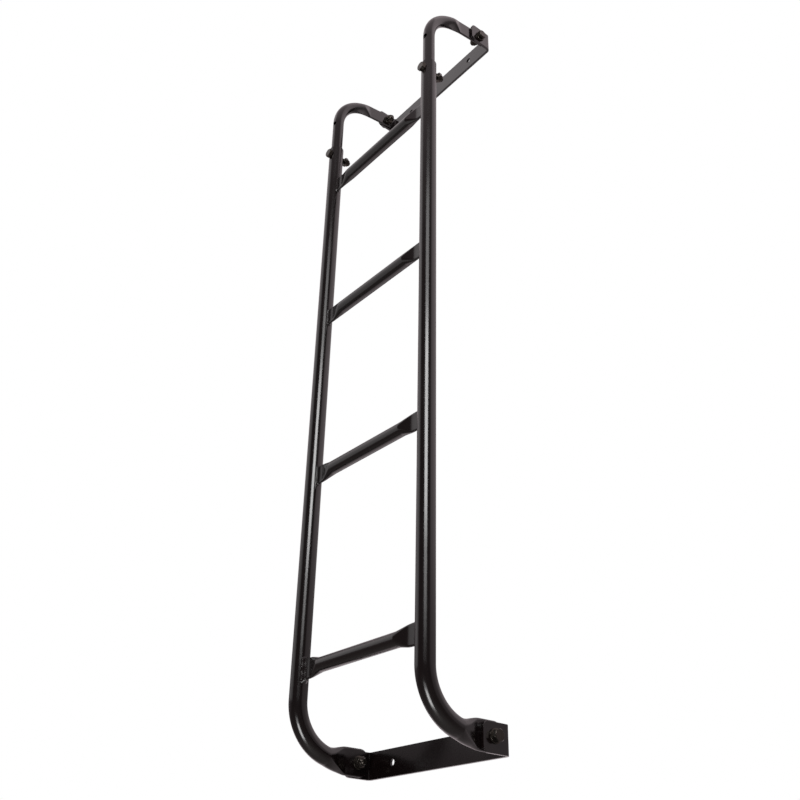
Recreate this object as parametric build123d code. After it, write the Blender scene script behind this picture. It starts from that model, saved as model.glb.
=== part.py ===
from build123d import *
import math
import os

# Ladder for a van's rear door, in millimetres.
# Origin: middle of the lower bracket's mounting face. +Z up, +Y into the van, X along the rungs.

# Rails
rail_spacing = 290.0        # between the rails' axes
rail_diameter = 28.0
rail_wall = 2.0
rail_standoff = 143.5       # rail axis to the lower bracket's mounting face
rail_above_rungs = 102.0    # open top end of the rails above the highest rung
rail_bend_radius = 75.5     # on the tube's axis
rail_press_run = 32.0       # length over which the round tube goes flat
rail_flat_length = 48.0     # pressed flat up to the tip, along the tube's axis

# Rungs
rung_count = 4
rung_pitch = 320.0
first_rung_height = 119.5   # lowest rung above the lower bracket's middle
rung_diameter = 22.0
rung_wall = 2.0
rung_press_run = 24.0
rung_flat_length = 18.0     # flat stretch next to each rail
weld_root_gap = 0.2         # fit-up gap under the weld

# Hooks
hook_fit = 1.0              # gap all round between hook tube and rail bore
hook_wall = 2.0
hook_insertion = 115.0      # length of hook tube inside the rail
hook_height = 171.5         # upper bolts above the rails' open tops
hook_bend_radius = 90.0     # on the tube's axis
hook_rise_angle = 7.5       # pressed ends rise towards the van, in degrees
hook_press_run = 20.0
hook_flat_length = 67.0
hook_bolt_drop = 17.5       # hook bolt below the rail's top
hook_nut_standoff = 5.5     # bare bolt shank between rail and nut
spare_hole_rise = 70.0      # spare hook hole above the rail's top

# Brackets
bracket_height = 40.0
bracket_thickness = 4.5
bracket_bend_inside = 3.0   # inside radius of the bent corners
ear_length = 49.5           # mounting face to free end of an ear
ear_corner_radius = 9.5
ear_bolt_setback = 28.5     # ear bolt axis in front of the mounting face
ear_bolt_offset = 2.0       # ear bolt axis off the bar's middle, towards the ladder's middle
ear_clearance = 0.2         # side gap between ear and pressed rail
mount_hole_diameter = 10.0
mount_hole_spacing = 184.0
upper_setback = 13.5        # upper mounting face beyond the lower one, towards the van

# Fasteners
bolt_diameter = 10.0
bolt_hole_clearance = 1.0   # on the diameter
bolt_tip_length = 3.0       # thread past the nut
bolt_tip_chamfer = 1.0
hex_across_flats = 16.0
hex_chamfer = 1.0
head_height = 7.0
nut_hex_height = 6.6
nut_height = 10.0           # with the locking collar
nut_collar_diameter = 13.8
nut_collar_round = 1.2
thread_clearance = 0.2      # on the diameter, bolt in nut
washer_diameter = 20.0
washer_thickness = 2.5
washer_bore_clearance = 0.6
seat_gap = 0.05             # under heads, washers and nuts

# Pressed ends
press_slit = 0.4            # what is left of the bore between the pressed walls
press_stations = 3
press_curve = 1.15          # power law of the squeeze: slow start, crease at the flat
round_side_angle = 10.0     # half the arc of the round tube that becomes a flat side

# Worked-out sizes
rail_bore = rail_diameter - 2 * rail_wall
hook_diameter = rail_bore - 2 * hook_fit
bolt_hole_diameter = bolt_diameter + bolt_hole_clearance
rail_y = -rail_standoff
rail_top = first_rung_height + (rung_count - 1) * rung_pitch + rail_above_rungs
lower_bolt_y, lower_bolt_z = -ear_bolt_setback, ear_bolt_offset
upper_bolt_y, upper_bolt_z = upper_setback - ear_bolt_setback, rail_top + hook_height
hook_bolt_z = rail_top - hook_bolt_drop
spare_hole_z = rail_top + spare_hole_rise
ear_inner_x = rail_spacing / 2 + rail_wall + ear_clearance
ear_outer_x = ear_inner_x + bracket_thickness
SIDES = {"left": -1, "right": 1}


def pressed_height(diameter, half_thickness):
    """Height of a tube pressed to a slot section: its girth stays as it was."""
    return math.pi * (diameter / 2 - half_thickness) + 2 * half_thickness


def four_sided(a, b, c, d, side_bulge, end_bulge):
    """Face through four corners, with its two sides and two ends bulged to points on the X and Y axes."""
    side = Line if side_bulge == a[0] else ThreePointArc
    right = [a, b] if side is Line else [a, (side_bulge, 0), b]
    left = [c, d] if side is Line else [c, (-side_bulge, 0), d]
    edges = [
        side(*right), ThreePointArc(b, (0, end_bulge), c), side(*left), ThreePointArc(d, (0, -end_bulge), a),
    ]
    return make_face(edges)


def slot_section(diameter, half_thickness):
    """Section of a tube squeezed along X and tall along Y: two flats and two half rounds."""
    end = pressed_height(diameter, half_thickness) / 2
    x, y = half_thickness, end - half_thickness
    return four_sided((x, -y), (x, y), (-x, y), (-x, -y), x, end)


def round_section(diameter):
    """Circle cut into four arcs that answer the four edges of slot_section."""
    radius = diameter / 2
    angle = math.radians(round_side_angle)
    x, y = radius * math.cos(angle), radius * math.sin(angle)
    return four_sided((x, -y), (x, y), (-x, y), (-x, -y), radius, radius)


def across(path, distance, thin):
    """Plane square to a path at a distance along it; its X axis is the thin direction of the press."""
    share = distance / path.length
    return Plane(path @ share, x_dir=thin, z_dir=path % share)


def squeeze(path, start, run, thin, diameter, closed_half):
    """Solid along a path that goes from a round section at start to a slot section after the run."""
    radius = diameter / 2
    sections = [across(path, start, thin) * round_section(diameter)]
    for station in range(1, press_stations + 1):
        share = station / press_stations
        half = radius - (radius - closed_half) * share**press_curve
        sections.append(across(path, start + run * share, thin) * slot_section(diameter, half))
    return loft(sections)


def pressed_tube(diameter, wall, path, run, flat_length, thin):
    """Tube along a path, its last stretch pressed flat: the girth is kept, the bore closes to a slit."""
    flat_start = path.length - flat_length
    round_end = flat_start - run
    round_path = path.trim(0, round_end / path.length)
    flat_path = path.trim(flat_start / path.length, 1)
    start, bore = across(path, 0, thin), diameter - 2 * wall
    outside = sweep(start * Circle(diameter / 2), round_path)
    outside += squeeze(path, round_end, run, thin, diameter, wall)
    outside += sweep(across(path, flat_start, thin) * slot_section(diameter, wall), flat_path)
    inside = sweep(start * Circle(bore / 2), round_path)
    inside += squeeze(path, round_end, run, thin, bore, press_slit / 2)
    return outside - inside


def bolted_tube(diameter, wall, start_z, end, bend_radius, press):
    """Tube in the plane X = 0, upright at the rail's place from start_z, then bent to +Y.

    The straight end lies on end (y, z, rise angle); it is pressed flat, and cut round and drilled there.
    """
    run, flat_length = press
    end_y, end_z, rise_angle = end
    rise = math.radians(rise_angle)
    reach = pressed_height(diameter, wall) / 2
    corner_z = end_z + (rail_y - end_y) * math.tan(rise)
    tip = (0, end_y + reach * math.cos(rise), end_z + reach * math.sin(rise))
    path = FilletPolyline((0, rail_y, start_z), (0, rail_y, corner_z), tip, radius=bend_radius)
    tube = pressed_tube(diameter, wall, path, run, flat_length, (1, 0, 0))
    corners = Pos(reach, 0) * Rectangle(2 * reach, 3 * reach) - Circle(reach)
    cutter = extrude(Plane.YZ * (corners + Circle(bolt_hole_diameter / 2)), diameter, both=True)
    return tube - Pos(0, end_y, end_z) * Rot(rise_angle, 0, 0) * cutter


def cross_hole(z):
    """Drill along Y through rail or hook."""
    return Pos(0, rail_y, z) * Rot(90, 0, 0) * Cylinder(bolt_hole_diameter / 2, 2 * rail_diameter)


def make_rail():
    """Rail in the plane X = 0: open top, bend at the foot, pressed end at the lower bracket."""
    end, press = (lower_bolt_y, lower_bolt_z, 0), (rail_press_run, rail_flat_length)
    rail = bolted_tube(rail_diameter, rail_wall, rail_top, end, rail_bend_radius, press)
    return rail - cross_hole(hook_bolt_z)


def make_hook():
    """Hook in the plane X = 0: slips into the rail's top, bends over to the upper bracket."""
    end, press = (upper_bolt_y, upper_bolt_z, hook_rise_angle), (hook_press_run, hook_flat_length)
    hook = bolted_tube(
        hook_diameter, hook_wall, rail_top - hook_insertion, end, hook_bend_radius, press
    )
    return hook - cross_hole(hook_bolt_z) - cross_hole(spare_hole_z)


def make_rung():
    """Rung along X at the height Z = 0, ends pressed tall and thin and coped to the rails."""
    trim = rail_diameter / 4
    end = rail_spacing / 2 - rail_diameter / 2 + trim
    half = pressed_tube(
        rung_diameter, rung_wall, Wire([Edge.make_line((0, 0, 0), (end, 0, 0))]),
        rung_press_run, rung_flat_length + trim, (0, 1, 0),
    )
    rung = half + mirror(half, Plane.YZ)
    for side in SIDES.values():
        rung -= Pos(side * rail_spacing / 2, 0, 0) * Cylinder(
            rail_diameter / 2 + weld_root_gap, 3 * rung_diameter
        )
    return Pos(0, rail_y, 0) * rung


def make_bracket():
    """Flat bar with two ears bent to the front; its mounting face is in the plane Y = 0."""
    bend_outside = bracket_bend_inside + bracket_thickness
    corners = [
        (-ear_outer_x, -ear_length), (-ear_outer_x, 0), (ear_outer_x, 0), (ear_outer_x, -ear_length),
        (ear_inner_x, -ear_length), (ear_inner_x, -bracket_thickness),
        (-ear_inner_x, -bracket_thickness), (-ear_inner_x, -ear_length),
    ]
    profile = make_face(Polyline(*corners, close=True))
    at_face = profile.vertices().group_by(Axis.Y)[-1]
    profile = fillet(at_face, bend_outside)
    inside = [v for v in profile.vertices() if abs(v.Y + bracket_thickness) < 0.01]
    profile = fillet(inside, bracket_bend_inside)
    bar = extrude(profile, bracket_height / 2, both=True)
    free_ends = bar.edges().filter_by(Axis.X).group_by(Axis.Y)[0]
    bar = fillet(free_ends, ear_corner_radius)
    for side in SIDES.values():
        bar -= Pos(side * mount_hole_spacing / 2, 0, 0) * Rot(90, 0, 0) * Cylinder(
            mount_hole_diameter / 2, 4 * bracket_thickness
        )
        bar -= Pos(side * ear_outer_x, -ear_bolt_setback, ear_bolt_offset) * Rot(0, 90, 0) * Cylinder(
            bolt_hole_diameter / 2, 4 * bracket_thickness
        )
    return bar


def hex_block(height):
    """Hexagon on the plane Z = 0 with its corners chamfered at the top."""
    flat = hex_across_flats / 2
    blank = Cylinder(flat / math.cos(math.pi / 6), height, align=(Align.CENTER, Align.CENTER, Align.MIN))
    blank = chamfer(blank.edges().group_by(Axis.Z)[-1], hex_chamfer)
    return blank & extrude(RegularPolygon(flat, 6, major_radius=False), height)


def make_bolt(grip):
    """Hexagon bolt: head below Z = 0, shank up through the grip and the nut."""
    length = grip + nut_height + bolt_tip_length
    shank = Cylinder(bolt_diameter / 2, length, align=(Align.CENTER, Align.CENTER, Align.MIN))
    shank = chamfer(shank.edges().group_by(Axis.Z)[-1], bolt_tip_chamfer)
    return shank + Rot(180, 0, 0) * hex_block(head_height)


def make_washer():
    """Flat washer on the plane Z = 0."""
    bore = bolt_diameter + washer_bore_clearance
    return extrude(Circle(washer_diameter / 2) - Circle(bore / 2), washer_thickness)


def make_nut():
    """Locking nut on the plane Z = 0: a hexagon under a round collar."""
    collar = Cylinder(nut_collar_diameter / 2, nut_height, align=(Align.CENTER, Align.CENTER, Align.MIN))
    collar = fillet(collar.edges().group_by(Axis.Z)[-1], nut_collar_round)
    nut = collar + hex_block(nut_hex_height)
    return nut - Cylinder((bolt_diameter + thread_clearance) / 2, 4 * nut_height)


def fasteners(seat, direction, grip, washers):
    """Bolt and nut from a seat on the work along a direction, with washers under head and nut if asked."""
    work = Plane(seat, z_dir=direction)
    layer = washer_thickness + seat_gap if washers else 0
    under = layer + seat_gap
    head_plane, nut_plane = work.offset(-under), work.offset(grip + under)
    pieces = {"bolt": head_plane * make_bolt(grip + 2 * under), "nut": nut_plane * make_nut()}
    if washers:
        pieces["washer"] = work.offset(-layer) * make_washer()
        pieces["nut_washer"] = work.offset(grip + seat_gap) * make_washer()
    return pieces


def build_nodes():
    """Every piece in place, by node name."""
    nodes = {}
    rail, hook, rung, bracket = make_rail(), make_hook(), make_rung(), make_bracket()
    ear_pack = ear_outer_x - rail_spacing / 2
    for side, sign in SIDES.items():
        x, ear_x, inward = sign * rail_spacing / 2, sign * ear_outer_x, (-sign, 0, 0)
        nodes[f"rail_{side}"] = Pos(x, 0, 0) * rail
        nodes[f"hook_{side}"] = Pos(x, 0, 0) * hook
        hook_seat = (x, rail_y - rail_diameter / 2, hook_bolt_z)
        sets = {
            "lower": fasteners((ear_x, lower_bolt_y, lower_bolt_z), inward, ear_pack + rail_wall, True),
            "upper": fasteners((ear_x, upper_bolt_y, upper_bolt_z), inward, ear_pack + hook_wall, True),
            "hook": fasteners(hook_seat, (0, 1, 0), rail_diameter + hook_nut_standoff, False),
        }
        for place, pieces in sets.items():
            nodes.update({f"{place}_{kind}_{side}": piece for kind, piece in pieces.items()})
    for number in range(rung_count):
        nodes[f"rung_{number + 1}"] = Pos(0, 0, first_rung_height + number * rung_pitch) * rung
    nodes["lower_bracket"] = bracket
    nodes["upper_bracket"] = Pos(0, upper_setback, upper_bolt_z + ear_bolt_offset) * Rot(0, 180, 0) * bracket
    return nodes


def main():
    os.makedirs("parts", exist_ok=True)
    for name, shape in build_nodes().items():
        export_step(shape, f"parts/{name}.step")


main()
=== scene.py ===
import math

import bpy
import numpy as np
from mathutils import Matrix, Vector


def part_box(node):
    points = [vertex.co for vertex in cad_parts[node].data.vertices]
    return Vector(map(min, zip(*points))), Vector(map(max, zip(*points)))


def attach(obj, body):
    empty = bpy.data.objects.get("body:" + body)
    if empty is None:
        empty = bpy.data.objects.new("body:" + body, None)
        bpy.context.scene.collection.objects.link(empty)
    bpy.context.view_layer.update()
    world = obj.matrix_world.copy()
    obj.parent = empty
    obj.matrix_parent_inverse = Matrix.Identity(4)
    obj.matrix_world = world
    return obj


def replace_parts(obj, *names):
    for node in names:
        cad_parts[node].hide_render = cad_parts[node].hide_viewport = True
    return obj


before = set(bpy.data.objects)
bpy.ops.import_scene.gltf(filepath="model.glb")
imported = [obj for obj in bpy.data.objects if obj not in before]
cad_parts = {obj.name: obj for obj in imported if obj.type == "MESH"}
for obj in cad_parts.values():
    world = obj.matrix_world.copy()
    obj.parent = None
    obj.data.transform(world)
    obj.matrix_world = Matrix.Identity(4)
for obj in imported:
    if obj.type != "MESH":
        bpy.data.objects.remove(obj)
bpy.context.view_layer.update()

bl_info = {
    "name": "Van Door Ladder",
    "version": (1, 0, 0),
    "blender": (4, 5, 0),
    "location": "View3D > Sidebar > Ladder",
    "description": "Dresses the packed solids of a van's rear door ladder and sets up its studio",
    "category": "Add Mesh",
}

MM = 0.001
BODY = "root"
SIDES = {"left": -1, "right": 1}
BOLTED = ("lower", "upper", "hook")
RUNGS = range(1, 5)

# Points round a tube, bolt, nut or washer
COLUMNS = 96
# Share of the girth at which a tube's grid starts, clear of the cross holes
SEAM = 0.375
# Grid cells from a cross hole's middle to its window's border, and rings of quads within
HOLE_CELLS, HOLE_RINGS = 9, 4
# Rows along a tube: straight run, bend, press, pressed flat, a rung's flat, rounded tip
STRAIGHT_STEP, BEND_STEP, PRESS_STEP = 30 * MM, 2.5 * MM, 0.8 * MM
FLAT_STEP, RUNG_FLAT_STEP, TIP_STEP = 4 * MM, 3 * MM, 1.5 * MM
# Rows nearer than this to a hole's window are left to the window
ROW_SLACK = 0.2 * MM
# Decimals of a metre at which two rows count as one
ROW_DIGITS = 7
# What a pressed tip's round cut adds to half the flat's height
TIP_SLACK = 0.3 * MM
# Gap between a rung's coped end and the rail, which the weld fills
ROOT_GAP = 0.2 * MM
# Radius of a hexagon's chamfer over its width across flats
CHAMFER_RIM = 0.475
# Degrees past which an edge shades sharp on tubes and bars, on fasteners, and on welds
SHARP, FASTENER_SHARP, WELD_SHARP = 35, 30, 180
# Degrees past which a cut edge is rounded
CUT_ANGLE = 50
# Faintly rosy white of the studio's walls, as the coat mirrors it
ROOM_TONE = (1, 0.875, 0.905, 1)
WHITE = (1, 1, 1, 1)


def linear(hex_colour):
    """sRGB hex text to linear red, green and blue."""
    srgb = np.array([int(hex_colour[i:i + 2], 16) for i in (1, 3, 5)]) / 255
    return tuple(np.where(srgb <= 0.04045, srgb / 12.92, ((srgb + 0.055) / 1.055) ** 2.4))


def centre(name):
    """Middle of a solid's box."""
    low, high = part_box(name)
    return np.array((low + high) / 2)


def length(name, millimetres, description):
    """Length property whose default is given in millimetres."""
    return bpy.props.FloatProperty(
        name=name, description=description, default=millimetres * MM, min=0, precision=4, unit="LENGTH")


def share(name, default, description):
    """Property between 0 and 1."""
    return bpy.props.FloatProperty(
        name=name, description=description, default=default, min=0, max=1, subtype="FACTOR")


def power(name, watts, description):
    """Property for a lamp's power."""
    return bpy.props.FloatProperty(name=name, description=description, default=watts, min=0, unit="POWER")


def colour(name, hex_colour, description):
    """Colour property whose default is given as sRGB hex text."""
    return bpy.props.FloatVectorProperty(
        name=name, description=description, default=linear(hex_colour), size=3, min=0, max=1,
        subtype="COLOR")


class LadderTubes(bpy.types.PropertyGroup):
    """Sizes of rails, hooks and rungs"""
    rail_diameter: length("Rail diameter", 28, "Outside of the rail tube")
    rail_bend: length("Rail bend radius", 75.5, "Bend at the rail's foot, on the tube's axis")
    rail_run: length("Rail press run", 32, "Length over which the rail goes from round to flat")
    rail_flat: length("Rail flat", 48, "Pressed flat stretch of the rail, up to its tip")
    rail_soft: share("Rail crease", 0.12, "Softness of the crease where the rail's flat starts")
    hook_diameter: length("Hook diameter", 22, "Outside of the hook tube")
    hook_bend: length("Hook bend radius", 90, "Bend at the hook's top, on the tube's axis")
    hook_run: length("Hook press run", 20, "Length over which the hook goes from round to flat")
    hook_flat: length("Hook flat", 67, "Pressed flat stretch of the hook, up to its tip")
    hook_soft: share("Hook crease", 0.05, "Softness of the crease where the hook's flat starts")
    hook_rise: bpy.props.FloatProperty(
        name="Hook rise", description="Slope of the hook's flat end towards the van",
        default=math.radians(7.5), subtype="ANGLE")
    spare_hole: length("Spare hole", 70, "Height of the hook's spare hole above the rail")
    rung_diameter: length("Rung diameter", 22, "Outside of the rung tube")
    rung_run: length("Rung press run", 24, "Length over which a rung goes from round to flat")
    rung_flat: length("Rung flat", 18, "Flat stretch of a rung beside the rail")
    rung_soft: share("Rung crease", 0.25, "Softness of the crease where a rung's flat starts")
    wall: length("Tube wall", 2, "Wall of every tube")
    slit: length("Press slit", 0.4, "What is left of the bore between pressed walls")
    hole: length("Cross hole", 11, "Bolt holes through rails and hooks")
    press_curve: bpy.props.FloatProperty(
        name="Press curve", description="Power of the squeeze: more than 1 starts slowly", default=1.15)


class LadderWelds(bpy.types.PropertyGroup):
    """Sizes of the weld beads, which are largest at the lowest rung"""
    first_leg: length("First leg", 5.6, "Reach along the rail at the lowest rung")
    first_throat: length("First throat", 6.8, "Reach along the lowest rung")
    first_ripple: length("First ripple", 0.42, "Swell of the drops at the lowest rung")
    leg: length("Leg", 2.6, "Reach along the rail at the other rungs")
    throat: length("Throat", 2.6, "Reach along the other rungs")
    ripple: length("Ripple", 0.12, "Swell of the drops at the other rungs")
    drop: length("Drop spacing", 3.6, "From one drop of the weld pool to the next")
    buried: length("Buried root", 1.2, "Depth of a bead inside rung and rail")


class LadderBrackets(bpy.types.PropertyGroup):
    """Sizes of the two flat-bar brackets"""
    thickness: length("Bar thickness", 4.5, "Gauge of the flat bar")
    bend: length("Bend radius", 7.5, "Outside radius of the bent corners")
    corner: length("Ear corner radius", 9.5, "Rounding of the ears' free corners")
    hole: length("Mounting hole", 10, "Holes for the screws into the door")
    hole_spacing: length("Mounting hole spacing", 184, "Between the two mounting holes")
    ear_hole: length("Ear hole", 11, "Bolt holes in the ears")
    ear_bolt: length("Ear bolt setback", 28.5, "Ear bolt in front of the mounting face")
    edge: length("Edge rounding", 0.7, "Rounding that the blasting and the coat leave on cut edges")


class LadderFasteners(bpy.types.PropertyGroup):
    """Sizes of bolts, nuts and washers"""
    thread: length("Thread", 10, "Outside of the thread")
    pitch: length("Thread pitch", 1.5, "Rise of one turn of the thread")
    hexagon: length("Hexagon", 16, "Across the flats of heads and nuts")
    head: length("Head height", 7, "Height of a bolt's head")
    nut: length("Nut height", 10, "Height of a nut with its locking collar")
    nut_hexagon: length("Nut hexagon height", 6.6, "Height of a nut's hexagon")
    collar: length("Nut collar", 13.8, "Outside of a nut's locking collar")
    washer: length("Washer", 20, "Outside of a washer")


class LadderFinish(bpy.types.PropertyGroup):
    """Colours of the finishes"""
    coat: colour("Powder coat", "#080404", "Black polyester powder coat")
    coat_dust: colour("Powder coat, worn", "#0d0808", "Where the coat is thin or dusty")
    zinc: colour("Black zinc", "#242120", "Black passivated zinc on bolts and nuts")
    zinc_worn: colour("Black zinc, worn", "#443f39", "Where the passivation is thin")
    nylon: colour("Nylon", "#16282b", "Locking rings in the nuts")
    floor: colour("Floor", "#d6d4d0", "Studio floor")


class LadderStage(bpy.types.PropertyGroup):
    """Camera and light"""
    lens: bpy.props.FloatProperty(
        name="Lens", description="Focal length on a 36 mm wide sensor", default=43.18)
    floor_drop: length("Floor drop", 1900, "Floor below the lower bracket")
    key_power: power("Key light", 54, "Softbox above the camera, bright in its middle")
    foot_power: power("Foot light", 29, "Softbox below the ladder's front")
    fill_power: power("Fill light", 4, "Dim tall panel at the ladder's left")


def filleted_path(corners, radius):
    """Straight runs in a plane joined by arcs: gives point and direction at any distance along the line.

    Each inner corner gets an arc that touches both runs at radius * tan(turn / 2) from it. With turn
    = distance * curvature, a stretch's point is start + along * distance * sin(turn) / turn + left
    * distance * (1 - cos(turn)) / turn, which is a plain straight run where the curvature is 0.
    """
    corners = np.asarray(corners, float)
    ways = np.diff(corners, axis=0)
    runs = np.linalg.norm(ways, axis=1)
    ways /= runs[:, None]
    before, after = ways[:-1], ways[1:]
    turns = np.arctan2(before[:, 0] * after[:, 1] - before[:, 1] * after[:, 0], (before * after).sum(1))
    trims = np.concatenate([[0], radius * np.tan(np.abs(turns) / 2), [0]])
    starts = corners[:-1] + ways * trims[:-1, None]
    lengths, curves, points, alongs = [], [], [], []
    for i, way in enumerate(ways):
        lengths.append(runs[i] - trims[i] - trims[i + 1])
        curves.append(0.0)
        points.append(starts[i])
        alongs.append(way)
        if i < len(turns):
            lengths.append(radius * abs(turns[i]))
            curves.append(np.sign(turns[i]) / radius)
            points.append(starts[i] + way * lengths[-2])
            alongs.append(way)
    begins = np.concatenate([[0], np.cumsum(lengths)])
    curves, points, alongs = np.array(curves), np.array(points), np.array(alongs)

    def at(distance):
        piece = np.clip(np.searchsorted(begins, distance, "right") - 1, 0, len(lengths) - 1)
        gone = distance - begins[piece]
        turn = gone * curves[piece]
        along, point = alongs[piece], points[piece]
        left = np.stack([-along[..., 1], along[..., 0]], -1)
        forward = gone * np.sinc(turn / np.pi)
        sideways = gone * turn / 2 * np.sinc(turn / 2 / np.pi) ** 2
        here = point + along * forward[..., None] + left * sideways[..., None]
        way = along * np.cos(turn)[..., None] + left * np.sin(turn)[..., None]
        return here, way

    return at, begins


def slot_outline(girth_place, radius, half):
    """Section of a round tube pressed to a given half thickness, its girth kept.

    The flats are pi * (radius - half) long and the ends are half rounds. A place on the girth is counted
    from the middle of one flat: first along the flat, then round by place / half, then back along the
    other flat. Gives the thin and the tall coordinate.
    """
    girth = 2 * np.pi * radius
    place = np.mod(girth_place + girth / 2, girth) - girth / 2
    walk = np.abs(place)
    half_flat = np.pi * (radius - half) / 2
    angle = np.clip((walk - half_flat) / half, 0, np.pi)
    back = np.maximum(walk - half_flat - np.pi * half, 0)
    tall = np.minimum(walk, half_flat) + half * np.sin(angle) - back
    return half * np.cos(angle), np.sign(place) * tall


def flat_reach(radius, half):
    """Half the height of a tube pressed to a given half thickness: half + pi * (radius - half) / 2."""
    return half + np.pi * (radius - half) / 2


def pressed_half(distance, start, radius, half, press):
    """Half thickness along a tube: radius - (radius - half) * squeeze, squeeze going 0 to 1 over the run.

    The squeeze is the softened lesser of a = share of the run ** curve and 1, which is (a + 1
    - sqrt((a - 1) ** 2 + soft ** 2)) / 2, so that the flat starts with a small radius, not a knife edge.
    """
    run, _, curve, soft = press
    rise = np.maximum((distance - start) / run, 0) ** curve
    squeeze = (rise + 1 - np.sqrt((rise - 1) ** 2 + soft**2)) / 2
    return radius - (radius - half) * np.clip(squeeze, 0, 1)


def sheet(columns, rows, closed, holes=()):
    """Grid of quads over two parameters in metres, with a ring of quads round each hole.

    A hole is (column, row, radius, roll, window): its middle, its radius, the radius of the tube that it
    is drilled across, or 0 on a flat, and half the window of grid cells that the ring fills. Ring points
    lie on straight lines in the parameters from the hole's outline, (roll * asin(radius * cos / roll),
    radius * sin), to the window's border. Gives the parameters of every point and the quads.
    """
    wide, tall = len(columns), len(rows)
    grid = np.arange(wide * tall).reshape(tall, wide)
    ahead = np.roll(grid, -1, 1) if closed else grid[:, 1:]
    base = grid if closed else grid[:, :-1]
    quads = np.stack([base[:-1], ahead[:-1], ahead[1:], base[1:]], -1)
    keep = np.ones(quads.shape[:2], bool)
    places = np.stack(np.meshgrid(columns, rows), -1).reshape(-1, 2)
    extra_places, extra_quads = [], []
    for column, row, radius, roll, window in holes:
        left, right = (np.abs(columns - column - side * window).argmin() for side in (-1, 1))
        low, high = (np.abs(rows - row - side * window).argmin() for side in (-1, 1))
        keep[low:high, left:right] = False
        border = np.concatenate([
            grid[low, left:right], grid[low:high, right],
            grid[high, right:left:-1], grid[high:low:-1, left]])
        out = places[border] - (column, row)
        angle = np.arctan2(out[:, 1], out[:, 0])
        across = radius * np.cos(angle)
        across = roll * np.arcsin(across / roll) if roll else across
        inner = np.stack([across, radius * np.sin(angle)], -1)
        shares = np.linspace(0, 1, HOLE_RINGS + 1)[:-1, None, None]
        ring = (inner + (out - inner) * shares + (column, row)).reshape(-1, 2)
        count = len(places) + sum(map(len, extra_places))
        layers = np.vstack([count + np.arange(len(ring)).reshape(-1, len(border)), border])
        beside = np.roll(layers, -1, 1)
        extra_places.append(ring)
        extra_quads.append(np.stack([layers[:-1], layers[1:], beside[1:], beside[:-1]], -1).reshape(-1, 4))
    places = np.vstack([places, *extra_places])
    quads = np.vstack([quads[keep], *extra_quads])
    used, quads = np.unique(quads, return_inverse=True)
    return places[used], quads.reshape(-1, 4)


def make_piece(name, points, faces, material, sharp=SHARP):
    """Mesh object at the origin, smooth with sharp edges past an angle, riding on the ladder."""
    mesh = bpy.data.meshes.new(name)
    mesh.from_pydata(points.tolist(), [], faces if isinstance(faces, list) else faces.tolist())
    mesh.polygons.foreach_set("use_smooth", np.ones(len(mesh.polygons), bool))
    mesh.set_sharp_from_angle(angle=math.radians(sharp))
    piece = bpy.data.objects.new(name, mesh)
    bpy.context.scene.collection.objects.link(piece)
    mesh.materials.append(material)
    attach(piece, BODY)
    return piece


def thicken(piece, thickness, edge=0.0):
    """Give a skin its wall, inwards, and round its cut edges; the result replaces the mesh."""
    wall = piece.modifiers.new("Wall", "SOLIDIFY")
    wall.thickness, wall.offset, wall.use_even_offset = thickness, -1, True
    if edge:
        bevel = piece.modifiers.new("Edges", "BEVEL")
        bevel.width, bevel.segments, bevel.limit_method = edge, 3, "ANGLE"
        bevel.angle_limit = math.radians(CUT_ANGLE)
        bevel.harden_normals = True
    graph = bpy.context.evaluated_depsgraph_get()
    solid = bpy.data.meshes.new_from_object(piece.evaluated_get(graph))
    skin = piece.data
    piece.modifiers.clear()
    piece.data = solid
    bpy.data.meshes.remove(skin)
    solid.name = piece.name
    solid.set_sharp_from_angle(angle=math.radians(SHARP))
    return piece


def spaced(*stretches):
    """Distances along a line: each stretch is (start, end, step)."""
    parts = [np.linspace(start, end, max(2, int(np.ceil((end - start) / step)) + 1))
             for start, end, step in stretches if end > start]
    return np.unique(np.round(np.concatenate(parts), ROW_DIGITS))


def girth_columns(radius):
    """Places of a tube's columns on its girth, evenly spaced."""
    return (np.arange(COLUMNS) / COLUMNS - SEAM) * 2 * np.pi * radius


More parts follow.
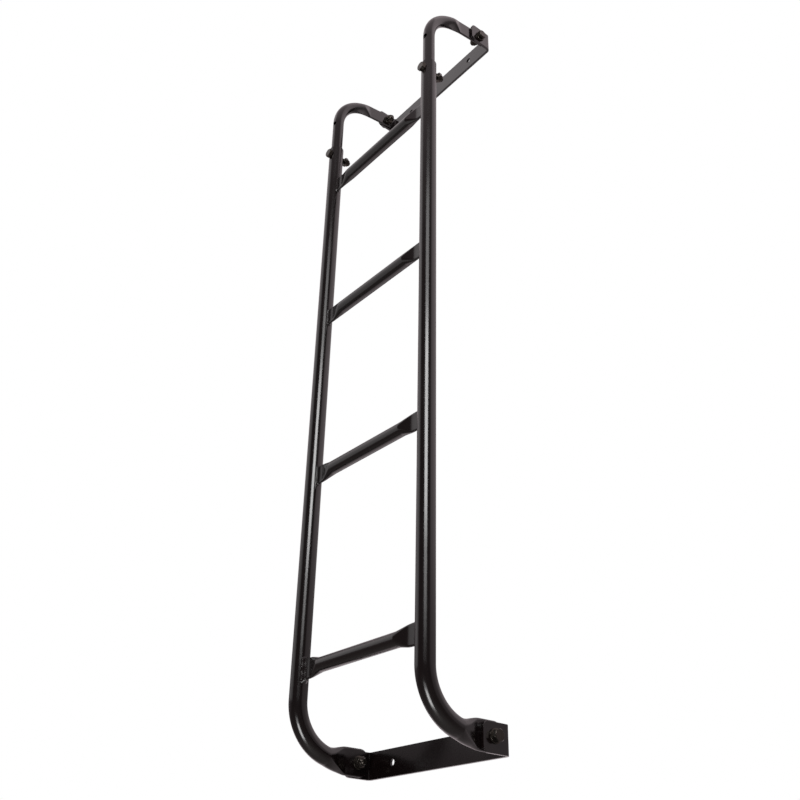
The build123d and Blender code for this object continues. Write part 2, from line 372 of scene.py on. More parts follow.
def pressed_tube_skin(line, radius, half, press, cross_holes, hole):
    """Skin of a tube along a filleted path in the plane of Y and Z, its end pressed flat and cut round.

    Press is the run from round to flat, the flat's length, the squeeze's curve and the crease's softness.
    The section is slot_outline, with the thin way along X and the tall way square to the path. Past the
    bolt the distance t is scaled to t * sqrt(cut ** 2 - tall ** 2) / reach, so that the end follows a
    circle.
    """
    at, begins = line
    total, bends = begins[-1], begins[1:3]
    run, flat = press[:2]
    cell = 2 * np.pi * radius / COLUMNS
    window = HOLE_CELLS * cell
    reach = flat_reach(radius, half)
    cut, bolt = reach + TIP_SLACK, total - reach
    rows = spaced(
        (0, bends[0], STRAIGHT_STEP), (bends[0], bends[1], BEND_STEP),
        *((max(z - window, 0), z + window, cell) for z in cross_holes),
        (total - flat - run, total - flat, PRESS_STEP), (total - flat, bolt, FLAT_STEP),
        (bolt, total, TIP_STEP))
    for z in cross_holes:
        inside = np.abs(rows - z) < window - ROW_SLACK
        steps = np.linspace(z - window, z + window, 2 * HOLE_CELLS + 1)
        rows = np.unique(np.round(np.concatenate([rows[~inside], steps]), ROW_DIGITS))
    quarter = np.pi * radius / 2
    holes = [(side * quarter, z, hole / 2, radius, window) for z in cross_holes for side in (-1, 1)]
    places, quads = sheet(girth_columns(radius), rows, True, holes)
    distance = places[:, 1]
    thick = pressed_half(distance, total - flat - run, radius, half, press)
    thin, tall = slot_outline(places[:, 0], radius, thick)
    past = np.maximum(distance - bolt, 0) * np.sqrt(np.maximum(cut**2 - tall**2, 0)) / reach
    here, way = at(np.where(distance > bolt, bolt + past, distance))
    return np.stack([-thin, here[:, 0] - way[:, 1] * tall, here[:, 1] + way[:, 0] * tall], -1), quads


def dress_tubes(kind, points, quads, sizes):
    """Put one skin on the left and the right tube of a kind, each with its wall."""
    for side in SIDES:
        shift = (centre(f"{kind}_{side}")[0], 0, 0)
        piece = make_piece(f"{kind}_{side}_tube", points + shift, quads, powder_coat())
        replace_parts(thicken(piece, sizes.wall - sizes.slit / 2), f"{kind}_{side}")


def numbered(points):
    """Numbers of a grid of points, in the grid's shape."""
    return np.arange(points[..., 0].size).reshape(points.shape[:2])


def woven(grid):
    """Quads between the rows of a grid of point numbers, closed round its columns."""
    beside = np.roll(grid, -1, 1)
    return np.stack([grid[:-1], beside[:-1], beside[1:], grid[1:]], -1).reshape(-1, 4)


def turned(rows):
    """Grid of points turned about Z from rows of (height, radius).

    A row's radius is one value or one per column; the point at angle a is (radius cos a, radius sin a,
    height).
    """
    angle = np.arange(COLUMNS) * 2 * np.pi / COLUMNS
    heights = np.array([np.broadcast_to(h, COLUMNS) for h, _ in rows])
    radii = np.array([np.broadcast_to(r, COLUMNS) for _, r in rows])
    return np.stack([radii * np.cos(angle), radii * np.sin(angle), heights], -1)


def capped(points):
    """Surface over a turned grid, closed with a fan of triangles at either end."""
    grid = numbered(points)
    first, last = grid[0], grid[-1]
    flat = np.vstack([points.reshape(-1, 3), points[0].mean(0), points[-1].mean(0)])
    fans = [np.stack([np.full(COLUMNS, grid.size), np.roll(first, -1), first], -1),
            np.stack([np.full(COLUMNS, grid.size + 1), last, np.roll(last, -1)], -1)]
    return flat, woven(grid).tolist() + np.vstack(fans).tolist()


def looped(points):
    """Surface over a grid whose last row joins its first, as in a ring."""
    grid = numbered(points)
    return points.reshape(-1, 3), woven(np.vstack([grid, grid[:1]]))


def hexagon(across_flats):
    """Radius of a hexagon at each column, of its chamfer's rim and of its corners.

    The radius is half the width over the cosine of the angle to the nearest flat's middle.
    """
    angle = np.arange(COLUMNS) * 2 * np.pi / COLUMNS
    radius = across_flats / 2 / np.cos(np.mod(angle + np.pi / 6, np.pi / 3) - np.pi / 6)
    return radius, across_flats * CHAMFER_RIM, across_flats / 2 / math.cos(math.pi / 6)


def bolt_way(place, sign):
    """Direction of a bolt from its head to its nut: hook bolts point at the van, the others inwards."""
    return np.array((0, 1, 0) if place == "hook" else (-sign, 0, 0))


def set_on_axis(points, seat, direction, turn=0.0):
    """Move points from the Z axis to a seat and a direction, turned about the axis."""
    axis = Vector(direction).normalized()
    rotation = axis.to_track_quat("Z", "Y").to_matrix() @ Matrix.Rotation(turn, 3, "Z")
    return points @ np.array(rotation).T + np.asarray(seat)


def set_fastener(name, kind, shape, seat, direction, turn=0.0):
    """Put a turned shape on its axis, in place of the solid of that name."""
    points, faces = shape
    piece = make_piece(f"{name}_{kind}", set_on_axis(points, seat, direction, turn), faces,
                       black_zinc(), FASTENER_SHARP)
    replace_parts(piece, name)


def node(tree, kind, inputs=None, **settings):
    """Add a shader node of a kind with its settings; inputs are values, or sockets to link from."""
    made = tree.nodes.new("ShaderNode" + kind)
    for key, value in settings.items():
        setattr(made, key, value)
    for key, value in (inputs or {}).items():
        if isinstance(value, bpy.types.NodeSocket):
            tree.links.new(value, made.inputs[key])
        else:
            made.inputs[key].default_value = value
    return made


def blank_material(name):
    """New material: gives it, its emptied node tree, its output and its Object coordinates."""
    made = bpy.data.materials.new(name)
    made.use_nodes = True
    tree = made.node_tree
    tree.nodes.clear()
    place = node(tree, "TexCoord").outputs["Object"]
    return made, tree, node(tree, "OutputMaterial"), place


def powder_coat():
    """Black polyester powder coat, sprayed and baked on steel: semi-gloss, with a faint orange peel.

    To the eye it is nearly black face on, mirrors the softboxes in soft streaks, and goes pale at grazing
    angles.
    """
    name = "Black powder coat"
    if name in bpy.data.materials:
        return bpy.data.materials[name]
    finish = bpy.context.scene.ladder_finish
    made, tree, output, place = blank_material(name)
    # Cure and film thickness drift over about 60 mm
    film = node(tree, "TexNoise", {"Vector": place, "Scale": 1 / (60 * MM), "Detail": 3.0})
    # Orange peel is about 1.5 mm in life; drawn at 4 mm so that it shows
    peel = node(tree, "TexNoise", {"Vector": place, "Scale": 1 / (4 * MM), "Detail": 2.0})
    tint = node(tree, "Mix", {
        "Factor": film.outputs["Fac"], "A": (*finish.coat, 1), "B": (*finish.coat_dust, 1)},
        data_type="RGBA")
    gloss = node(tree, "MapRange", {
        "Value": film.outputs["Fac"], "From Min": 0.3, "From Max": 0.7, "To Min": 0.14, "To Max": 0.2})
    bump = node(tree, "Bump", {
        "Height": peel.outputs["Fac"], "Strength": 0.3, "Distance": 0.05 * MM})
    coat = node(tree, "BsdfPrincipled", {
        "Base Color": tint.outputs["Result"], "Roughness": gloss.outputs["Result"],
        "Normal": bump.outputs["Normal"], "IOR": 1.5})
    tree.links.new(coat.outputs["BSDF"], output.inputs["Surface"])
    return made


def black_zinc():
    """Steel with black passivated zinc, dipped.

    To the eye it is a dull metal, dark olive grey, paler and glossier where the film is thin.
    """
    name = "Black zinc-plated steel"
    if name in bpy.data.materials:
        return bpy.data.materials[name]
    finish = bpy.context.scene.ladder_finish
    made, tree, output, place = blank_material(name)
    # Blotches of the dip, about 5 mm across
    film = node(tree, "TexNoise", {"Vector": place, "Scale": 1 / (5 * MM), "Detail": 4.0})
    tint = node(tree, "Mix", {
        "Factor": film.outputs["Fac"], "A": (*finish.zinc, 1), "B": (*finish.zinc_worn, 1)},
        data_type="RGBA")
    gloss = node(tree, "MapRange", {
        "Value": film.outputs["Fac"], "From Min": 0.3, "From Max": 0.7, "To Min": 0.3, "To Max": 0.18})
    zinc = node(tree, "BsdfPrincipled", {
        "Base Color": tint.outputs["Result"], "Roughness": gloss.outputs["Result"], "Metallic": 0.85})
    tree.links.new(zinc.outputs["BSDF"], output.inputs["Surface"])
    return made


def nylon():
    """Nylon locking ring, moulded.

    To the eye it is dark teal and waxy, with fine mould mottling.
    """
    name = "Dark teal nylon"
    if name in bpy.data.materials:
        return bpy.data.materials[name]
    finish = bpy.context.scene.ladder_finish
    made, tree, output, place = blank_material(name)
    # Mottling of the mould, about 2 mm across
    mottle = node(tree, "TexNoise", {"Vector": place, "Scale": 1 / (2 * MM)})
    gloss = node(tree, "MapRange", {
        "Value": mottle.outputs["Fac"], "To Min": 0.35, "To Max": 0.55})
    tint = node(tree, "Mix", {
        "Factor": mottle.outputs["Fac"], "A": (*finish.nylon, 1),
        "B": (*(1.5 * c for c in finish.nylon), 1)}, data_type="RGBA")
    plastic = node(tree, "BsdfPrincipled", {
        "Base Color": tint.outputs["Result"], "Roughness": gloss.outputs["Result"], "IOR": 1.53})
    tree.links.new(plastic.outputs["BSDF"], output.inputs["Surface"])
    return made


class LADDER_OT_rails(bpy.types.Operator):
    """Make the two rails: open tops, bends at the foot, pressed ends"""
    bl_idname = "van_ladder.rails"
    bl_label = "Rails"

    def execute(self, context):
        sizes = context.scene.ladder_tubes
        radius, half = sizes.rail_diameter / 2, sizes.wall
        low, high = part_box("rail_right")
        axis_y, foot_z = low.y + radius, low.z + flat_reach(radius, half)
        line = filleted_path([(axis_y, high.z), (axis_y, foot_z), (high.y, foot_z)], sizes.rail_bend)
        press = sizes.rail_run, sizes.rail_flat, sizes.press_curve, sizes.rail_soft
        bolt = high.z - centre("hook_bolt_right")[2]
        points, quads = pressed_tube_skin(line, radius, half, press, [bolt], sizes.hole)
        dress_tubes("rail", points, quads, sizes)
        return {"FINISHED"}


class LADDER_OT_hooks(bpy.types.Operator):
    """Make the two hooks: they stand in the rails, bend over and end flat at the upper bracket"""
    bl_idname = "van_ladder.hooks"
    bl_label = "Hooks"

    def execute(self, context):
        sizes = context.scene.ladder_tubes
        radius, half = sizes.hook_diameter / 2, sizes.wall
        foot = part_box("hook_right")[0]
        axis_y = foot.y + radius
        bolt = centre("upper_bolt_right")
        rise = np.array([math.cos(sizes.hook_rise), math.sin(sizes.hook_rise)])
        corner_z = bolt[2] + (axis_y - bolt[1]) * math.tan(sizes.hook_rise)
        tip = bolt[1:] + flat_reach(radius, half) * rise
        line = filleted_path([(axis_y, foot.z), (axis_y, corner_z), tip], sizes.hook_bend)
        press = sizes.hook_run, sizes.hook_flat, sizes.press_curve, sizes.hook_soft
        rail_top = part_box("rail_right")[1].z
        cross_holes = [centre("hook_bolt_right")[2] - foot.z, rail_top + sizes.spare_hole - foot.z]
        points, quads = pressed_tube_skin(line, radius, half, press, cross_holes, sizes.hole)
        dress_tubes("hook", points, quads, sizes)
        return {"FINISHED"}


class LADDER_OT_rungs(bpy.types.Operator):
    """Make the rungs: tubes along X with both ends pressed tall and coped to the rails"""
    bl_idname = "van_ladder.rungs"
    bl_label = "Rungs"

    def execute(self, context):
        sizes = context.scene.ladder_tubes
        radius, half = sizes.rung_diameter / 2, sizes.wall
        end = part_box("rung_1")[1].x
        rail_x = centre("rail_right")[0]
        cope = sizes.rail_diameter / 2 + ROOT_GAP
        flat_start = end - sizes.rung_flat
        round_end = flat_start - sizes.rung_run
        half_rows = spaced(
            (0, round_end, STRAIGHT_STEP), (round_end, flat_start, PRESS_STEP),
            (flat_start, end, RUNG_FLAT_STEP))
        rows = np.concatenate([-half_rows[:0:-1], half_rows])
        places, quads = sheet(girth_columns(radius), rows, True)
        press = sizes.rung_run, sizes.rung_flat, sizes.press_curve, sizes.rung_soft
        thick = pressed_half(np.abs(places[:, 1]), round_end, radius, half, press)
        thin, tall = slot_outline(places[:, 0], radius, thick)
        last = rail_x - np.sqrt(np.maximum(cope**2 - np.minimum(np.abs(thin), half) ** 2, 0))
        skin = np.stack([places[:, 1] * last / end, thin, tall], -1)
        for number in RUNGS:
            points = skin + (0, *centre(f"rung_{number}")[1:])
            piece = make_piece(f"rung_{number}_tube", points, quads, powder_coat())
            # Both ends are welded shut, so half the wall is enough inside
            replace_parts(thicken(piece, sizes.wall / 2), f"rung_{number}")
        return {"FINISHED"}


class LADDER_OT_welds(bpy.types.Operator):
    """Lay a weld bead round each rung end, on the rail"""
    bl_idname = "van_ladder.welds"
    bl_label = "Welds"

    def execute(self, context):
        tubes, welds = context.scene.ladder_tubes, context.scene.ladder_welds
        for number in RUNGS:
            bead = (welds.leg, welds.throat, welds.ripple)
            if number == RUNGS[0]:
                bead = (welds.first_leg, welds.first_throat, welds.first_ripple)
            for side, sign in SIDES.items():
                # Each bead has its own phase, so that no two are alike
                points, quads = self.bead(tubes, welds, *bead, 1.7 * number + 0.9 * sign)
                quads = quads if sign > 0 else quads[:, ::-1]
                place = (centre(f"rail_{side}")[0], *centre(f"rung_{number}")[1:])
                make_piece(f"weld_{number}_{side}", points * (-sign, 1, 1) + place, quads,
                           powder_coat(), WELD_SHARP)
        return {"FINISHED"}

    def bead(self, tubes, welds, leg, throat, ripple, phase):
        """Closed surface round a rung end that joins the rail on its +X side; the rail's axis is Z.

        A place on the bead is a share of the rung's girth and an angle round the bead. From the girth it
        reaches leg * cos(angle) ** hollow outwards along the rail, and stands throat * sin(angle)
        ** hollow off the rail's round. Drops of the weld pool in two staggered rows swell both ways by
        ripple * sin(2 * angle) * cos(drop) * cos(6 * angle). The leg is shorter on top, and where either
        cosine or sine is negative the bead is buried.
        """
        places, corners, hollow = 360, 40, 2.3
        # What the leg loses on top, and where across it the drops are spaced
        top_loss, middle_share = 0.43, 0.35
        girth_share = np.arange(places) / places
        angle = np.arange(corners) * 2 * np.pi / corners
        radius = tubes.rung_diameter / 2
        thin, tall = slot_outline(girth_share * 2 * np.pi * radius, radius, tubes.wall)
        out = np.stack([np.gradient(tall), -np.gradient(thin)], -1)
        out /= np.linalg.norm(out, axis=1)[:, None]
        turn = 2 * np.pi * girth_share[:, None]
        middle = np.stack([thin, tall], -1) + out * middle_share * leg
        gone = np.cumsum(np.linalg.norm(middle - np.roll(middle, 1, 0), axis=1))
        drops = np.round(gone[-1] / welds.drop)
        drop = 2 * np.pi * drops * gone[:, None] / gone[-1] + np.sin(5 * turn)
        swell = ripple * np.cos(drop + phase) * np.cos(6 * angle) * np.maximum(np.sin(2 * angle), 0)
        leg = leg * (1 - top_loss * np.maximum(out[:, 1:], 0)) + ripple * np.sin(7 * turn + 3 * phase)
        throat = throat + ripple * np.sin(4 * turn + 2 * phase)
        cosine, sine, rounding = np.cos(angle), np.sin(angle), 1e-6
        shown = (cosine > -rounding) & (sine > -rounding)
        reach = np.where(
            shown, leg * np.abs(cosine) ** hollow + swell, np.where(cosine > 0, leg, welds.buried) * cosine)
        stand = np.where(
            shown, throat * np.abs(sine) ** hollow + swell, np.where(sine > 0, throat, welds.buried) * sine)
        y = thin[:, None] + out[:, :1] * reach
        z = tall[:, None] + out[:, 1:] * reach
        x = np.sqrt((tubes.rail_diameter / 2) ** 2 - y**2) + stand
        return looped(np.stack([x, y, z], -1))


class LADDER_OT_brackets(bpy.types.Operator):
    """Bend the two brackets from flat bar: ears, mounting holes, rounded edges"""
    bl_idname = "van_ladder.brackets"
    bl_label = "Brackets"

    def execute(self, context):
        sizes = context.scene.ladder_brackets
        corner_step, bar_step, bend_step = 0.4 * MM, 1 * MM, 0.6 * MM
        window, row_count = 9 * MM, 43
        for place in ("lower", "upper"):
            low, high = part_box(f"{place}_bracket")
            half_height = (high.z - low.z) / 2
            middle_z = (high.z + low.z) / 2
            at, begins = filleted_path(
                [(high.x, low.y), (high.x, high.y), (low.x, high.y), (low.x, low.y)], sizes.bend)
            total = begins[-1]
            ear_bolt = high.y - low.y - sizes.ear_bolt
            ear_row = centre(f"{place}_bolt_left")[2] - middle_z
            mount = total / 2 - sizes.hole_spacing / 2
            columns = spaced(
                (0, sizes.corner, corner_step), (sizes.corner, begins[1], bar_step),
                (begins[1], begins[2], bend_step), (begins[2], begins[3], bar_step),
                (begins[3], begins[4], bend_step), (begins[4], total - sizes.corner, bar_step),
                (total - sizes.corner, total, corner_step))
            rows = np.linspace(-half_height, half_height, row_count)
            holes = [(spot, ear_row, sizes.ear_hole / 2, 0, window) for spot in (ear_bolt, total - ear_bolt)]
            holes += [(spot, 0, sizes.hole / 2, 0, window) for spot in (mount, total - mount)]
            places, quads = sheet(columns, rows, False, holes)
            from_end = np.minimum(places[:, 0], total - places[:, 0])
            inset = np.maximum(sizes.corner - from_end, 0)
            lost = sizes.corner - np.sqrt(np.maximum(sizes.corner**2 - inset**2, 0))
            here, _ = at(places[:, 0])
            height = places[:, 1] * (half_height - lost) / half_height
            points = np.stack([here[:, 0], here[:, 1], middle_z + height], -1)
            piece = make_piece(f"{place}_bracket_bar", points, quads, powder_coat())
            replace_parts(thicken(piece, sizes.thickness, sizes.edge), f"{place}_bracket")
        return {"FINISHED"}


class LADDER_OT_bolts(bpy.types.Operator):
    """Turn the hexagon bolts: chamfered heads, threaded shanks"""
    bl_idname = "van_ladder.bolts"
    bl_label = "Bolts"

    def execute(self, context):
        sizes = context.scene.ladder_fasteners
        for place in BOLTED:
            for side, sign in SIDES.items():
                name = f"{place}_bolt_{side}"
                low, high = (np.array(c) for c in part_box(name))
                direction = bolt_way(place, sign)
                span = np.abs((high - low) @ direction)
                seat = centre(name) - direction * (span / 2 - sizes.head)
                shape = capped(turned(self.profile(sizes, span - sizes.head)))
                # Hexagons stand as the spanner left them
                turn = 0.4 + 0.9 * sign + (0.5 if place == "upper" else 0)
                set_fastener(name, "threaded", shape, seat, direction, turn)
        return {"FINISHED"}

    def profile(self, sizes, shank):
        """Rows from the head's top to the shank's end; the seat under the head is at height 0.

        The head is the lesser of the hexagon and a cone from its rim to its corners. The thread's radius is
        thread - depth * groove, where groove goes 0 to 1 to 0 over each pitch, shifted by the angle.
        """
        # Heights of the head's chamfer and of the edges at the seat
        crown, edge = 1.3 * MM, 0.3 * MM
        # Plain shank under the head, bare end, thread's depth and taper of the point
        plain, lead, depth, point = 2 * MM, 1.2 * MM, 0.85 * MM, 1.1 * MM
        # Radii as shares: inner rings of both end faces, broken edge and fillet at the seat
        top_ring, end_ring, broken, fillet = 0.55, 0.4, 0.985, 1.05
        chamfer_steps, turn_steps = 9, 10
        hex_radius, rim, corner = hexagon(sizes.hexagon)
        thread = sizes.thread / 2
        rows = [(-sizes.head, rim * top_ring), (-sizes.head, rim)]
        rows += [(-sizes.head + crown * drop, np.minimum(hex_radius, rim + (corner - rim) * drop))
                 for drop in np.linspace(0, 1, chamfer_steps)[1:]]
        rows += [(-edge, hex_radius), (0, hex_radius * broken), (0, thread * fillet), (edge, thread)]
        heights = np.arange(plain, shank - lead, sizes.pitch / turn_steps)
        groove = np.abs(np.mod(heights[:, None] / sizes.pitch - np.arange(COLUMNS) / COLUMNS, 1) * 2 - 1)
        cut = thread - depth * groove
        fade = np.clip((heights - plain) / plain, 0, 1)[:, None]
        rows += zip(heights, thread + (cut - thread) * fade)
        return rows + [(shank, thread - point), (shank, thread * end_ring)]


class LADDER_OT_washers(bpy.types.Operator):
    """Turn the washers under the ear bolts' heads and nuts"""
    bl_idname = "van_ladder.washers"
    bl_label = "Washers"

    def execute(self, context):
        sizes = context.scene.ladder_fasteners
        bore_slack, bore_edge = 0.3 * MM, 0.3 * MM
        outside, bore = sizes.washer / 2, sizes.thread / 2 + bore_slack
        low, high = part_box("lower_washer_left")
        thick = high.x - low.x
        # Stamped edge: rolled over on the outer face, square at the work
        rows = [(0, bore), (0, outside), (thick - 0.6 * MM, outside),
                (thick - 0.2 * MM, outside - 0.2 * MM), (thick, outside - 0.7 * MM),
                (thick, bore + bore_edge), (thick - bore_edge, bore)]
        shape = looped(turned(rows))
        for place in ("lower", "upper"):
            for side, sign in SIDES.items():
                for kind, outward in (("washer", sign), ("nut_washer", -sign)):
                    name = f"{place}_{kind}_{side}"
                    seat = centre(name) - np.array((outward * thick / 2, 0, 0))
                    set_fastener(name, "stamped", shape, seat, (outward, 0, 0))
        return {"FINISHED"}


class LADDER_OT_nuts(bpy.types.Operator):
    """Turn the locking nuts and their nylon rings"""
    bl_idname = "van_ladder.nuts"
    bl_label = "Nuts"

    def execute(self, context):
        sizes = context.scene.ladder_fasteners
        bore = sizes.thread / 2 + 0.1 * MM
        shape = looped(turned(self.profile(sizes, bore)))
        ring_points, ring_faces = looped(turned(self.ring(sizes, bore)))
        for place in BOLTED:
            for side, sign in SIDES.items():
                name = f"{place}_nut_{side}"
                direction = bolt_way(place, sign)
                seat = centre(name) - direction * sizes.nut / 2
                # Hexagons stand as the spanner left them
                set_fastener(name, "locking", shape, seat, direction, 0.2 + 0.6 * sign)
                make_piece(f"{name}_ring", set_on_axis(ring_points, seat, direction), ring_faces,
                           nylon(), FASTENER_SHARP)
        return {"FINISHED"}

    def profile(self, sizes, bore):
        """Rows round a nut's section: hexagon with both chamfers, rolled collar, ring groove, bore.

        A chamfer is the lesser of the hexagon and a cone between its rim and its corners. The collar's top
        is a quarter round of radius roll.
        """
        chamfer, roll, countersink, neck = 1.0 * MM, 1.2 * MM, 0.4 * MM, 0.2 * MM
        hex_radius, rim, corner = hexagon(sizes.hexagon)
        collar, top, height = sizes.collar / 2, sizes.nut_hexagon, sizes.nut
        steps = np.linspace(0, 1, 7)
        rows = [(0, bore + countersink), (0, rim)]
        rows += [(chamfer * s, np.minimum(hex_radius, rim + (corner - rim) * s)) for s in steps[1:]]
        rows += [(top - chamfer * (1 - s), np.minimum(hex_radius, corner + (rim - corner) * s))
                 for s in steps]
        rows += [(top + neck, collar)]
        rows += [(height - roll + roll * math.sin(a), collar - roll + roll * math.cos(a))
                 for a in np.linspace(0, math.pi / 2, 6)]
        # Groove for the nylon ring, under the rolled mouth
        mouth, groove = bore + 0.9 * MM, bore + 0.8 * MM
        lip, seat, floor = (height - depth * MM for depth in (0.5, 2.4, 2.6))
        return rows + [(height, mouth), (lip, groove), (seat, groove), (floor, bore), (countersink, bore)]

    def ring(self, sizes, bore):
        """Rows round the nylon ring's section, which sits in the nut's groove and is crowned on top."""
        inner, thick = bore - 0.02 * MM, 0.85 * MM
        foot, shoulder, crown = (sizes.nut - depth * MM for depth in (2.3, 0.5, 0.35))
        return [(foot, inner), (foot, inner + thick), (shoulder, inner + thick), (crown, inner + thick / 2),
                (shoulder, inner)]


class LADDER_OT_stage(bpy.types.Operator):
    """Set up floor, studio light and camera"""
    bl_idname = "van_ladder.stage"
    bl_label = "Stage"

    def execute(self, context):
        scene, stage = context.scene, context.scene.ladder_stage
        scene.view_settings.view_transform = "Standard"
        self.floor(stage)
        self.world(scene)
        # What the lights point at; a lamp and the diffuser round it share one power
        front, foot, side = (0, -0.14, 0.45), (0, -0.12, 0.05), (0, -0.14, 1.51)
        self.softbox("Key lamp", (1.69, -1.6, 1.58), front, (1.3, 0.8), stage.key_power * 0.6)
        self.softbox("Key diffuser", (1.69, -1.6, 1.68), front, (1.3, 1.75), stage.key_power * 0.4)
        self.softbox("Foot lamp", (0.65, -1.73, -1.3), foot, (0.8, 0.95), stage.foot_power * 0.7)
        self.softbox("Foot diffuser", (0.65, -1.73, -1.36), foot, (0.95, 1.9), stage.foot_power * 0.5)
        self.softbox("Fill panel", (-0.69, -0.72, 1.51), side, (0.8, 2.58), stage.fill_power)
        self.camera(scene, stage)
        return {"FINISHED"}

    def floor(self, stage):
        """Wide plain floor, level in the middle and dished up beyond, so that no hard horizon shows.

        The rise is dish * (radius - level) ** 2.
        """
        level, dish, spokes = 6, 0.02, 64
        rings = np.linspace(0.05, 14, 40)
        radius, angle = np.meshgrid(rings, np.arange(spokes) * 2 * np.pi / spokes, indexing="ij")
        height = -stage.floor_drop + dish * np.maximum(radius - level, 0) ** 2
        points = np.stack([radius * np.cos(angle), radius * np.sin(angle), height], -1)
        grid = numbered(points)
        beside = np.roll(grid, -1, 1)
        quads = np.stack([grid[:-1], grid[1:], beside[1:], beside[:-1]], -1).reshape(-1, 4)
        mesh = bpy.data.meshes.new("Studio floor")
        mesh.from_pydata(points.reshape(-1, 3).tolist(), [], quads.tolist() + [grid[0].tolist()])
        mesh.polygons.foreach_set("use_smooth", np.ones(len(mesh.polygons), bool))
        mesh.materials.append(self.floor_paint())
        floor = bpy.data.objects.new("studio_floor", mesh)
        bpy.context.scene.collection.objects.link(floor)

    def floor_paint(self):
        """Matt paint rolled on a studio floor.

        To the eye it is pale, and white where it meets the sweep. Reflections see it white behind the
        ladder and at its left.
        """
        made, tree, output, place = blank_material("Matt studio floor")
        # Roller marks, about 500 mm across
        grain = node(tree, "TexNoise", {"Vector": place, "Scale": 1 / (500 * MM)})
        shade = node(tree, "MapRange", {
            "Value": grain.outputs["Fac"], "To Min": 0.97, "To Max": 1.0})
        tint = node(tree, "Mix", {
            "Factor": shade.outputs["Result"], "A": (0.5, 0.5, 0.5, 1),
            "B": (*bpy.context.scene.ladder_finish.floor, 1)}, data_type="RGBA")
        paint = node(tree, "BsdfPrincipled", {
            "Base Color": tint.outputs["Result"], "Roughness": 0.9})
        camera, mirror, tone = self.onlookers(tree)
        level = node(tree, "VectorMath", {0: place, 1: (1, 1, 0)}, operation="MULTIPLY")
        far = node(tree, "VectorMath", {0: level.outputs[0]}, operation="LENGTH")
        pale = node(tree, "MapRange", {
            "Value": far.outputs["Value"], "From Min": 0.5, "From Max": 6.0, "To Min": 0.6, "To Max": 1.0},
            interpolation_type="SMOOTHSTEP")
        way = node(tree, "VectorMath", {0: level.outputs[0]}, operation="NORMALIZE")
        left_back = node(tree, "VectorMath", {
            0: way.outputs[0], 1: (-0.71, 0.7, 0)}, operation="DOT_PRODUCT")
        left_back = node(tree, "MapRange", {
            "Value": left_back.outputs["Value"], "From Min": -0.5, "From Max": 0.8},
            interpolation_type="SMOOTHSTEP")
        behind = node(tree, "MapRange", {
            "Value": node(tree, "SeparateXYZ", {0: place}).outputs["Y"],
            "From Min": 0.1, "From Max": 1.3}, interpolation_type="SMOOTHSTEP")
        mirrored = node(tree, "Math", {
            0: left_back.outputs[0], 1: behind.outputs[0]}, operation="MULTIPLY")
        mirrored = node(tree, "Math", {0: mirror, 1: mirrored.outputs[0]}, operation="MULTIPLY")
        white_share = node(tree, "Mix", {
            "Factor": camera, "A": mirrored.outputs[0], "B": pale.outputs[0]}, data_type="FLOAT")
        white = node(tree, "Emission", {"Color": tone, "Strength": 1.0})
        both = node(tree, "MixShader", {
            0: white_share.outputs[0], 1: paint.outputs["BSDF"], 2: white.outputs["Emission"]})
        tree.links.new(both.outputs["Shader"], output.inputs["Surface"])
        return made

    def onlookers(self, tree):
        """Whether a ray is the camera's, whether it is a mirror's, and the white that it sees."""
        ray = node(tree, "LightPath").outputs
        mirror = node(tree, "Math", {
            0: ray["Is Glossy Ray"], 1: ray["Is Transmission Ray"]}, operation="MAXIMUM")
        tone = node(tree, "Mix", {
            "Factor": ray["Is Camera Ray"], "A": ROOM_TONE, "B": WHITE}, data_type="RGBA")
        return ray["Is Camera Ray"], mirror.outputs[0], tone.outputs["Result"]

    def world(self, scene):
        """White for the camera, and a plain studio for reflections.

        Reflections see a white sweep behind and beside the ladder that fades towards the floor, a dark room
        in front, and a dimmer ceiling. Front and right are cosines of the compass angle to the camera's
        side and to the camera's right.
        """
        world = bpy.data.worlds.new("Studio")
        scene.world = world
        world.use_nodes = True
        tree = world.node_tree
        tree.nodes.clear()
        camera, mirror, tone = self.onlookers(tree)
        way = node(tree, "TexCoord").outputs["Generated"]
        level = node(tree, "VectorMath", {0: way, 1: (1, 1, 0)}, operation="MULTIPLY")
        level = node(tree, "VectorMath", {0: level.outputs[0]}, operation="NORMALIZE")
        front, right = (node(tree, "VectorMath", {0: level.outputs[0], 1: way_out},
                             operation="DOT_PRODUCT").outputs["Value"]
                        for way_out in ((0.616, -0.788, 0), (0.62, 0.785, 0)))
        round_about = node(tree, "MapRange", {
            "Value": front, "From Min": 0.7, "From Max": 0.24}, interpolation_type="SMOOTHSTEP")
        height = node(tree, "SeparateXYZ", {0: way}).outputs["Z"]
        near_floor = node(tree, "MapRange", {
            "Value": right, "From Min": -1.0, "To Min": 0.25, "To Max": 0.45})
        beside_panel = node(tree, "MapRange", {
            "Value": right, "From Min": -0.88, "From Max": -0.6, "To Min": 0.4, "To Max": 1.05},
            interpolation_type="SMOOTHSTEP")
        high_up = node(tree, "MapRange", {
            "Value": right, "From Min": -0.3, "From Max": 0.8,
            "To Min": beside_panel.outputs[0], "To Max": 1.2})
        rising = node(tree, "MapRange", {
            "Value": height, "From Min": 0.2, "From Max": 0.46,
            "To Min": near_floor.outputs[0], "To Max": high_up.outputs[0]}, interpolation_type="SMOOTHSTEP")
        far_back = node(tree, "MapRange", {
            "Value": front, "From Min": -1.0, "From Max": -0.3, "To Min": 0.52, "To Max": 1.0})
        ceiling = node(tree, "MapRange", {
            "Value": height, "From Min": 0.6, "From Max": 0.82, "To Min": 0.12, "To Max": 0.68},
            interpolation_type="SMOOTHSTEP")
        sweep = node(tree, "Math", {
            0: round_about.outputs[0], 1: rising.outputs[0]}, operation="MULTIPLY")
        sweep = node(tree, "Math", {
            0: sweep.outputs[0], 1: far_back.outputs[0]}, operation="MULTIPLY")
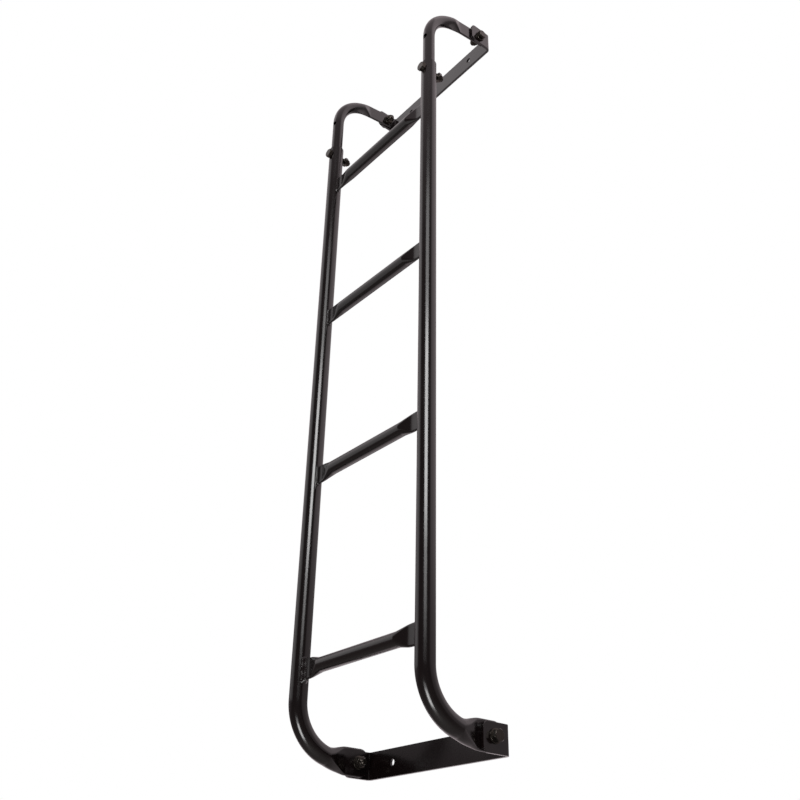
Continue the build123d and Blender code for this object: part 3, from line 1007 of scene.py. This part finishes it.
        seen = node(tree, "Math", {
            0: sweep.outputs[0], 1: ceiling.outputs[0]}, operation="MAXIMUM")
        strength = node(tree, "Mix", {
            "Factor": mirror, "A": 0.2, "B": seen.outputs[0]}, data_type="FLOAT")
        strength = node(tree, "Mix", {
            "Factor": camera, "A": strength.outputs[0], "B": 1.0}, data_type="FLOAT")
        sky = node(tree, "Background", {"Color": tone, "Strength": strength.outputs[0]})
        node(tree, "OutputWorld", {"Surface": sky.outputs[0]})

    def softbox(self, name, place, target, size, watts):
        """Rectangular area light at a place, turned to a target; size is width and height in metres."""
        lamp = bpy.data.lights.new(name, "AREA")
        lamp.shape, lamp.size, lamp.size_y, lamp.energy = "RECTANGLE", *size, watts
        box = bpy.data.objects.new(name, lamp)
        bpy.context.scene.collection.objects.link(box)
        box.location, box.visible_camera = place, False
        box.rotation_euler = (Vector(target) - Vector(place)).to_track_quat("-Z", "Y").to_euler()

    def camera(self, scene, stage):
        """Camera at the photograph's angle: below the ladder, to its right, looking up."""
        place = (1.0836187, -0.9446162, -0.2415061)
        turn, lift, roll = (math.radians(a) for a in (51.357, -29.7969, 1.2643))
        back = Vector((math.sin(turn) * math.cos(lift), -math.cos(turn) * math.cos(lift), math.sin(lift)))
        side = (-back).cross(Vector((0, 0, 1))).normalized()
        up = back.cross(side)
        right = side * math.cos(roll) + up * math.sin(roll)
        top = up * math.cos(roll) - side * math.sin(roll)
        lens = bpy.data.cameras.new("Camera")
        lens.lens, lens.sensor_width, lens.sensor_fit = stage.lens, 36, "HORIZONTAL"
        lens.dof.use_dof = False
        camera = bpy.data.objects.new("Camera", lens)
        scene.collection.objects.link(camera)
        rotation = Matrix((right, top, back)).transposed().to_4x4()
        camera.matrix_world = Matrix.Translation(place) @ rotation
        scene.camera = camera


class LADDER_PT_sidebar(bpy.types.Panel):
    """Lists the steps that dress the ladder"""
    bl_idname = "LADDER_PT_sidebar"
    bl_label = "Van Door Ladder"
    bl_space_type = "VIEW_3D"
    bl_region_type = "UI"
    bl_category = "Ladder"

    def draw(self, context):
        for step in STEPS:
            self.layout.operator(step.bl_idname)


GROUPS = {
    "ladder_tubes": LadderTubes, "ladder_welds": LadderWelds, "ladder_brackets": LadderBrackets,
    "ladder_fasteners": LadderFasteners, "ladder_finish": LadderFinish, "ladder_stage": LadderStage,
}
STEPS = (
    LADDER_OT_rails, LADDER_OT_hooks, LADDER_OT_rungs, LADDER_OT_welds, LADDER_OT_brackets,
    LADDER_OT_bolts, LADDER_OT_washers, LADDER_OT_nuts, LADDER_OT_stage,
)


def register():
    for group in GROUPS.values():
        bpy.utils.register_class(group)
    for name, group in GROUPS.items():
        setattr(bpy.types.Scene, name, bpy.props.PointerProperty(type=group))
    for step in (*STEPS, LADDER_PT_sidebar):
        bpy.utils.register_class(step)


def unregister():
    for step in (LADDER_PT_sidebar, *reversed(STEPS)):
        bpy.utils.unregister_class(step)
    for name in GROUPS:
        delattr(bpy.types.Scene, name)
    for group in reversed(GROUPS.values()):
        bpy.utils.unregister_class(group)


def main():
    register()
    for step in STEPS:
        family, name = step.bl_idname.split(".")
        getattr(getattr(bpy.ops, family), name)()


if __name__ == "__main__":
    main()
